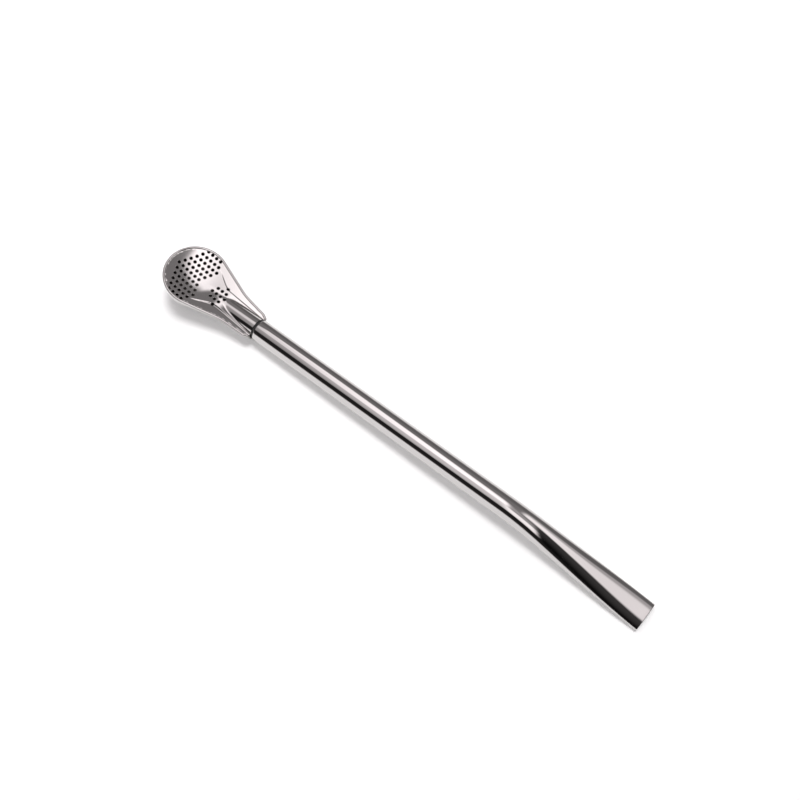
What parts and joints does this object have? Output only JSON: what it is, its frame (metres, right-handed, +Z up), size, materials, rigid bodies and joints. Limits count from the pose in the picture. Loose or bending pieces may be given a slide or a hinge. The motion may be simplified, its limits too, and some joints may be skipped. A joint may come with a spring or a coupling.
{
  "type": "mate drinking straw",
  "caption": "Metal bombilla: a straight tube with a bent, flattened mouthpiece and a screw-off spoon-shaped filter with a perforated dished face.",
  "frame": {"origin": "centre of the box that holds the part, at the level of the table it lies on", "axes": "+X along the tube towards the mouthpiece, +Z up, out of the perforated face of the filter"},
  "size_m": [0.1897, 0.022, 0.0135],
  "materials": {
    "polished_steel": "mirror-polished stainless steel",
    "turned_steel": "fine turned",
    "seal_rubber": "satin black"
  },
  "bodies": {
    "straw": {"straw_tube": "polished_steel", "tube_socket": "turned_steel"},
    "seal": {"neck_seal": "seal_rubber"},
    "filter_head": {"neck_spigot": "turned_steel", "filter_face": "polished_steel", "filter_back": "polished_steel"}
  },
  "joints": [
    {"name": "head_travel", "type": "slide", "parent": "straw", "child": "seal", "axis": [-0.9999, 0, -0.0166], "range_m": [0, 0.0048]},
    {"name": "head_turn", "type": "hinge", "parent": "seal", "child": "filter_head", "pos_m": [-0.05689, 0, 0.00535], "axis": [-0.9999, 0, -0.0166], "range_deg": [0, 2160]}
  ],
  "couplings": [
    {"joint": "head_travel", "follows": "head_turn", "m_per_rad": 0.00012732}
  ]
}
